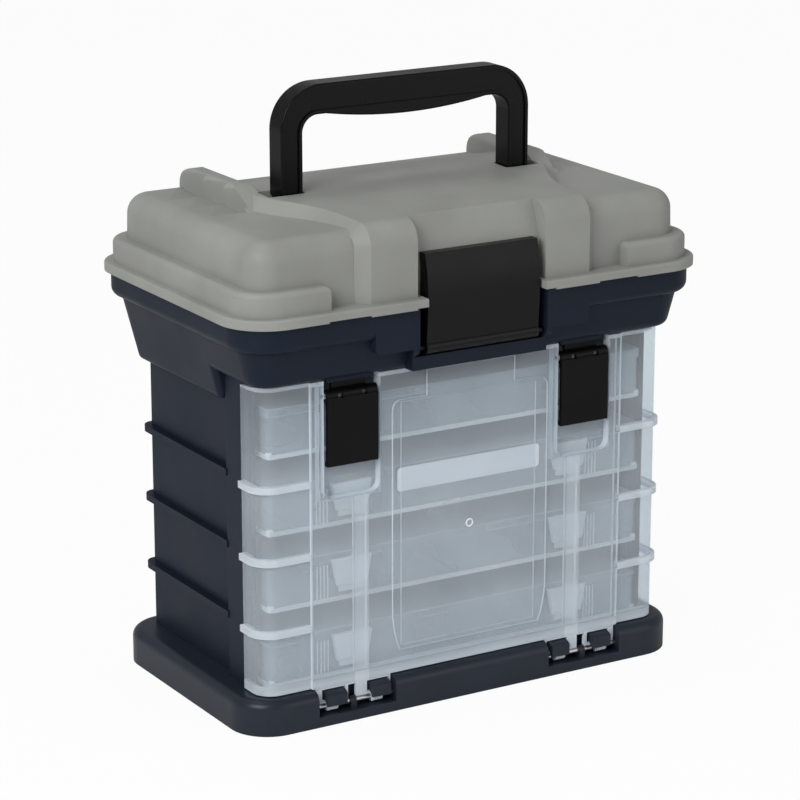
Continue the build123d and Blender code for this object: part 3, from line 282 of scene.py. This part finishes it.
# %% Milky clear plastic
def milky_clear(
    name, colour, roughness, veil, edge_veil, side_reach, low_veil=0.0, thick=()
):
    """Clear plastic that scatters a share of the light.

    veil is that share on the flats, and edge_veil what faces that look up, down or
    sideways add. side_reach, in metres, is how far from the middle the sideways
    faces still count. low_veil is what the thicker lower half adds. thick holds
    bands of thick wall: x from and to, z from and to, in mm, and how much each adds.
    """
    material, tree, shader = recipe(name)
    shader.inputs["Base Color"].default_value = (*colour, 1)
    shader.inputs["Roughness"].default_value = roughness
    clear = tree.nodes.new("ShaderNodeBsdfTransparent")
    clear.inputs["Color"].default_value = (0.93, 0.955, 0.97, 1)
    place = tree.nodes.new("ShaderNodeTexCoord")
    spot = tree.nodes.new("ShaderNodeSeparateXYZ")
    facing = tree.nodes.new("ShaderNodeSeparateXYZ")
    cloud = tree.nodes.new("ShaderNodeTexNoise")
    cloud.inputs["Scale"].default_value = 16.0
    wire(tree, place, "Object", spot, "Vector")
    wire(tree, place, "Normal", facing, "Vector")
    wire(tree, place, "Object", cloud, "Vector")
    across = reckon(tree, "ABSOLUTE", (spot, "X"))
    level = ramp(tree, reckon(tree, "ABSOLUTE", (facing, "Z")), 0.25, 0.7, 0.0, edge_veil)
    side = ramp(tree, reckon(tree, "ABSOLUTE", (facing, "X")), 0.25, 0.7, 0.0, edge_veil)
    within = reckon(tree, "LESS_THAN", across, side_reach)
    side = reckon(tree, "MULTIPLY", side, within)
    cover = ramp(tree, (cloud, "Fac"), 0.3, 0.7, veil * 0.8, veil * 1.2)
    cover = reckon(tree, "ADD", cover, reckon(tree, "MAXIMUM", level, side))
    low = ramp(tree, (spot, "Z"), 0.205, 0.150, 0.0, low_veil)
    cover = reckon(tree, "ADD", cover, low)
    for x_from, x_to, z_from, z_to, more in thick:
        x_middle, x_reach = (x_from + x_to) / 2000, (x_to - x_from) / 2000
        z_middle, z_reach = (z_from + z_to) / 2000, (z_to - z_from) / 2000
        wide = reckon(tree, "COMPARE", across, x_middle, x_reach)
        tall = reckon(tree, "COMPARE", (spot, "Z"), z_middle, z_reach)
        band = reckon(tree, "MULTIPLY", wide, tall)
        cover = reckon(tree, "MULTIPLY_ADD", band, more, cover, clamp=True)
    blend = tree.nodes.new("ShaderNodeMixShader")
    wire(tree, *cover, blend, 0)
    wire(tree, clear, 0, blend, 1)
    wire(tree, shader, 0, blend, 2)
    wire(tree, blend, 0, tree.nodes["Material Output"], 0)
    return material


# Bands of thick wall: x from and to, z from and to, in mm, and how much each adds
door_end = 151.0
thick_strut = (73.0, 83.2, 22.0, 143.5, 0.15)
thick_hinges = (0.0, door_end, 0.0, 22.0, 0.45)
thick_foot = (0.0, door_end, 22.0, 29.2, 0.25)
thick_top = (0.0, door_end, 216.5, 222.0, 0.25)
thick_ribs = [
    (113.5, door_end, low, high, 0.35)
    for low, high in ((60.9, 65.1), (107.1, 111.3), (153.3, 157.5))
]
clear_door = milky_clear(
    "clear_door", (0.83, 0.90, 0.97), 0.16, 0.145, 0.55, 0.130, low_veil=0.10,
    thick=(thick_strut, thick_hinges, thick_foot, thick_top, *thick_ribs),
)
clear_tray = milky_clear("clear_tray", (0.85, 0.92, 0.99), 0.28, 0.26, 0.24, 0.0)
clear_bead = milky_clear("clear_bead", (0.94, 0.96, 0.99), 0.22, 0.80, 0.30, 1.0)
print("clear", [m.name for m in (clear_door, clear_tray, clear_bead)])

# %% [markdown]
# ## Drawn steel wire
# The hinge pins are cut from drawn wire: a bright metal with faint lines along
# its length. A noise texture stretched along X draws the lines.

# %% Drawn steel
steel_wire, tree, shader = recipe("steel_wire")
shader.inputs["Metallic"].default_value = 1.0
shader.inputs["Base Color"].default_value = (0.56, 0.56, 0.57, 1)
place = tree.nodes.new("ShaderNodeTexCoord")
stretch = tree.nodes.new("ShaderNodeMapping")
stretch.inputs["Scale"].default_value = (40, 2500, 2500)  # long in X, fine across
lines = tree.nodes.new("ShaderNodeTexNoise")
lines.inputs["Scale"].default_value = 1.0
wire(tree, place, "Object", stretch, "Vector")
wire(tree, stretch, "Vector", lines, "Vector")
wire(tree, *ramp(tree, (lines, "Fac"), 0.0, 1.0, 0.2, 0.42), shader, "Roughness")
print("steel", steel_wire.name)

# %% [markdown]
# ## Dressing the solid parts
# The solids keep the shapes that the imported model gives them, so only their
# materials change here. Its record names a material slot for every node, and one
# table turns slots into finishes. That is safer than naming forty nodes one by
# one. A few nodes get a finish of their own: the base, the main latch, the lined
# door latches and the paler snap tabs of the trays.

# %% Dress the solid parts
finish_of = {
    "navy_plastic": navy_shell,
    "grey_plastic": grey_shell,
    "black_plastic": black_fitting,
    "clear_door": clear_door,
    "clear_tray": clear_tray,
    "steel_pin": steel_wire,
}
slot_of = {s["node"]: s["material_slot"] for s in frame["record"]["subparts"]}
for node, solid in frame["nodes"].items():
    finish = finish_of[slot_of[node]]
    if node == "base_plinth":
        finish = navy_base_painted_reflection
    if node == "main_latch":
        finish = black_cover
    if node.startswith("door_latch"):
        finish = black_lined
    if node.startswith("tray") and "_latch_" in node:
        finish = clear_bead
    solid.data.materials.clear()
    solid.data.materials.append(finish)
print("dressed", len(slot_of), "solid parts")

# %% [markdown]
# ## Making small moulded trim
# The trays and the door carry trim too fine for the solid parts: guides that hold
# the dividers, beads along the feet, and small ribs. Each one is made as the mould
# maker cuts it, as a bar with rounded edges or a shape turned on a centre, and all
# the trim of one tray is joined in one mesh that moves with that tray. Working in
# millimetres keeps the numbers readable; the last step scales them to metres.


# %% Trim helpers
def add_bar(bm, low, high, soft):
    """Adds a bar between two corners, in millimetres, with its edges rounded."""
    verts = bmesh.ops.create_cube(bm, size=1.0)["verts"]
    bmesh.ops.scale(bm, vec=[b - a for a, b in zip(low, high)], verts=verts)
    bmesh.ops.translate(bm, vec=[(a + b) / 2 for a, b in zip(low, high)], verts=verts)
    edges = list({e for v in verts for e in v.link_edges})
    bmesh.ops.bevel(
        bm, geom=edges, offset=soft, segments=2, profile=0.5, affect="EDGES", material=-1
    )


def add_turned(bm, centre, outline):
    """Adds a shape turned about an upright axis from (radius, height) pairs."""
    middle = Vector(centre)
    verts = [bm.verts.new(middle + Vector((radius, 0, up))) for radius, up in outline]
    edges = [bm.edges.new(pair) for pair in zip(verts, verts[1:])]
    bmesh.ops.spin(
        bm, geom=verts + edges, cent=middle, axis=(0, 0, 1), angle=2 * pi, steps=20,
        use_merge=True,
    )


def raise_faces(bm, shift):
    """Gives the flat faces of a bmesh a thickness along shift."""
    copied = bmesh.ops.extrude_face_region(bm, geom=bm.faces[:], use_keep_orig=True)
    moved = [v for v in copied["geom"] if isinstance(v, bmesh.types.BMVert)]
    bmesh.ops.translate(bm, vec=shift, verts=moved)


def keep_piece(bm, name, finish, body, slot):
    """Turns a bmesh in millimetres into a finished piece that rides on a body."""
    bmesh.ops.remove_doubles(bm, verts=bm.verts[:], dist=0.001)
    bmesh.ops.recalc_face_normals(bm, faces=bm.faces[:])
    bmesh.ops.transform(bm, matrix=Matrix.Scale(0.001, 4), verts=bm.verts[:])
    mesh = bpy.data.meshes.new(name)
    bm.to_mesh(mesh)
    bm.free()
    mesh.materials.append(finish)
    piece = bpy.data.objects.new(name, mesh)
    bpy.context.scene.collection.objects.link(piece)
    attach(piece, body)


trim_helpers = (add_bar, add_turned, raise_faces, keep_piece)
print("trim helpers", [helper.__name__ for helper in trim_helpers])

# %% [markdown]
# ## Trim of the trays
# On a real utility tray the loose dividers stand between small upright guides,
# moulded in pairs on both walls of the row. The foot is a bead right round the
# floor, and the front is ribbed beside each snap tab, for the thumb. The pale
# round boss at each front corner is a painted highlight: it stands in for the
# bright glint of light bent by the rounded corner. These forms are a millimetre
# or two, so they are made here and not in the solid parts. All four trays are
# alike, so one loop makes their trim at four heights.

# %% Tray trim
tray_floors = (24.3, 73.3, 122.3, 171.3)
divider_places = (-89.87, -44.93, 0.0, 44.93, 89.87)
guide_shift = 1.35  # from the middle of a divider to the middle of its guide
guide_half = 0.5
guide_walls = ((-70.4, -68.5), (-9.7, -7.8))  # front and rear, on both walls of the row
bead_half, bead_depth_half, bead_middle = 136.6, 70.6, -1.9
bead_corner, bead_wide, bead_high = 4.1, 1.2, 2.8
# Painted highlight: pale bosses at the front corners stand in for the corner's glint
corner_glint_x, corner_glint_y = 134.6, -70.4
corner_glint_outline = ((0, 0), (1.7, 0), (2.3, 0.6), (2.3, 3.6), (1.7, 4.4), (0, 4.4))
first_rib, rib_pitch, rib_half = 95.4, 2.5, 0.4
rib_front, rib_rear = -72.7, -71.7
for number, floor in enumerate(tray_floors, start=1):
    bm = bmesh.new()
    for place in divider_places:
        for side in (-1, 1):
            guide_x = place + side * guide_shift
            for front, rear in guide_walls:
                add_bar(
                    bm, (guide_x - guide_half, front, floor + 1.5),
                    (guide_x + guide_half, rear, floor + 23.0), 0.3,
                )
    keep_piece(bm, f"tray_{number}_guides", clear_tray, f"tray_{number}", "clear_tray")

    bm = bmesh.new()
    corners = bmesh.ops.create_grid(bm, x_segments=1, y_segments=1, size=1.0)["verts"]
    bmesh.ops.scale(bm, vec=(bead_half, bead_depth_half, 1), verts=corners)
    bmesh.ops.translate(bm, vec=(0, bead_middle, floor), verts=corners)
    bmesh.ops.bevel(
        bm, geom=corners, offset=bead_corner, segments=6, profile=0.5, affect="VERTICES",
        material=-1,
    )
    bmesh.ops.inset_region(
        bm, faces=bm.faces[:], thickness=bead_wide, use_even_offset=True, use_boundary=True
    )
    inner = max(bm.faces, key=lambda face: face.calc_area())
    bmesh.ops.delete(bm, geom=[inner], context="FACES")
    raise_faces(bm, (0, 0, bead_high))
    for side in (-1, 1):
        add_turned(bm, (side * corner_glint_x, corner_glint_y, floor), corner_glint_outline)
        for rib in range(4):
            rib_x = side * (first_rib + rib_pitch * rib)
            add_bar(
                bm, (rib_x - rib_half, rib_front, floor + 3.0),
                (rib_x + rib_half, rib_rear, floor + 24.5), 0.25,
            )
    keep_piece(bm, f"tray_{number}_foot_bead_and_glint_bosses", clear_bead, f"tray_{number}", "clear_tray")
print("tray trim on", len(tray_floors), "trays,", len(divider_places), "dividers each")

# %% [markdown]
# ## Dark bars for the streaks at the door's ends
# The clear door shows a dark upright streak inside each of its ends: the dark
# front posts, seen bent through the rounded corners of the trays. That streak is
# painted shade here: one rounded dark bar on each side, as thin trim on the case.
# It is thin trim on the case, so it is one rounded bar on each side.

# %% Dark streak bars, painted shade
streak_inner, streak_outer = 141.0, 144.5
streak_front, streak_rear = -65.6, -57.5  # the rear end is 1 mm inside the post
streak_low, streak_high = 24.2, 216.0
# Painted shade: dark bars that stand in for the posts seen bent through the tray corners
bm = bmesh.new()
for side in (-1, 1):
    left, right = sorted((side * streak_inner, side * streak_outer))
    add_bar(bm, (left, streak_front, streak_low), (right, streak_rear, streak_high), 0.6)
keep_piece(bm, "dark_streak_bars", navy_shell, "case", "navy_plastic")
print("dark streak bars", streak_high - streak_low, "mm long")

# %% [markdown]
# ## The door's name strip and gate mark
# Behind the door's centre panel the maker leaves a place for a name strip: a thin
# white film, blank here, stuck to the inside of the panel. In the middle of the
# panel the clear plastic keeps a small ring, where it flowed into the mould. The
# film is a sheet with rounded corners, and the ring is a small circle spun about
# a line that stands square on the panel.

# %% Name strip and gate mark
pale_film, tree, shader = recipe("pale_film")
shader.inputs["Roughness"].default_value = 0.38
place = tree.nodes.new("ShaderNodeTexCoord")
cloud = tree.nodes.new("ShaderNodeTexNoise")
cloud.inputs["Scale"].default_value = 30.0
tint = tree.nodes.new("ShaderNodeValToRGB")
tint.color_ramp.elements[0].position = 0.3
tint.color_ramp.elements[0].color = (0.84, 0.84, 0.87, 1)
tint.color_ramp.elements[1].position = 0.7
tint.color_ramp.elements[1].color = (0.92, 0.92, 0.94, 1)
wire(tree, place, "Object", cloud, "Vector")
wire(tree, cloud, "Fac", tint, "Fac")
wire(tree, tint, "Color", shader, "Base Color")

strip_half, strip_half_high = 52.0, 7.6
strip_place = (0, -83.7, 148.3)
ring_radius, ring_wire = 2.3, 0.5
ring_place = (-1.0, -86.0, 113.0)

bm = bmesh.new()
corners = bmesh.ops.create_grid(bm, x_segments=1, y_segments=1, size=1.0)["verts"]
bmesh.ops.scale(bm, vec=(strip_half, strip_half_high, 1), verts=corners)
bmesh.ops.bevel(
    bm, geom=corners, offset=2.5, segments=5, profile=0.5, affect="VERTICES", material=-1
)
upright = Matrix.Rotation(pi / 2, 3, "X")
bmesh.ops.rotate(bm, cent=(0, 0, 0), matrix=upright, verts=bm.verts[:])
bmesh.ops.translate(bm, vec=strip_place, verts=bm.verts[:])
raise_faces(bm, (0, 0.4, 0))
keep_piece(bm, "door_name_strip", pale_film, "door", "clear_door")

bm = bmesh.new()
profile = bmesh.ops.create_circle(bm, segments=8, radius=ring_wire)["verts"]
bmesh.ops.translate(bm, vec=(ring_radius, 0, 0), verts=profile)
bmesh.ops.spin(
    bm, geom=bm.verts[:] + bm.edges[:], cent=(0, 0, 0), axis=(0, 1, 0), angle=2 * pi,
    steps=28, use_merge=True,
)
bmesh.ops.translate(bm, vec=ring_place, verts=bm.verts[:])
keep_piece(bm, "door_gate_mark", clear_bead, "door", "clear_door")
print("name strip", 2 * strip_half, "mm wide, ring", 2 * ring_radius, "mm across")
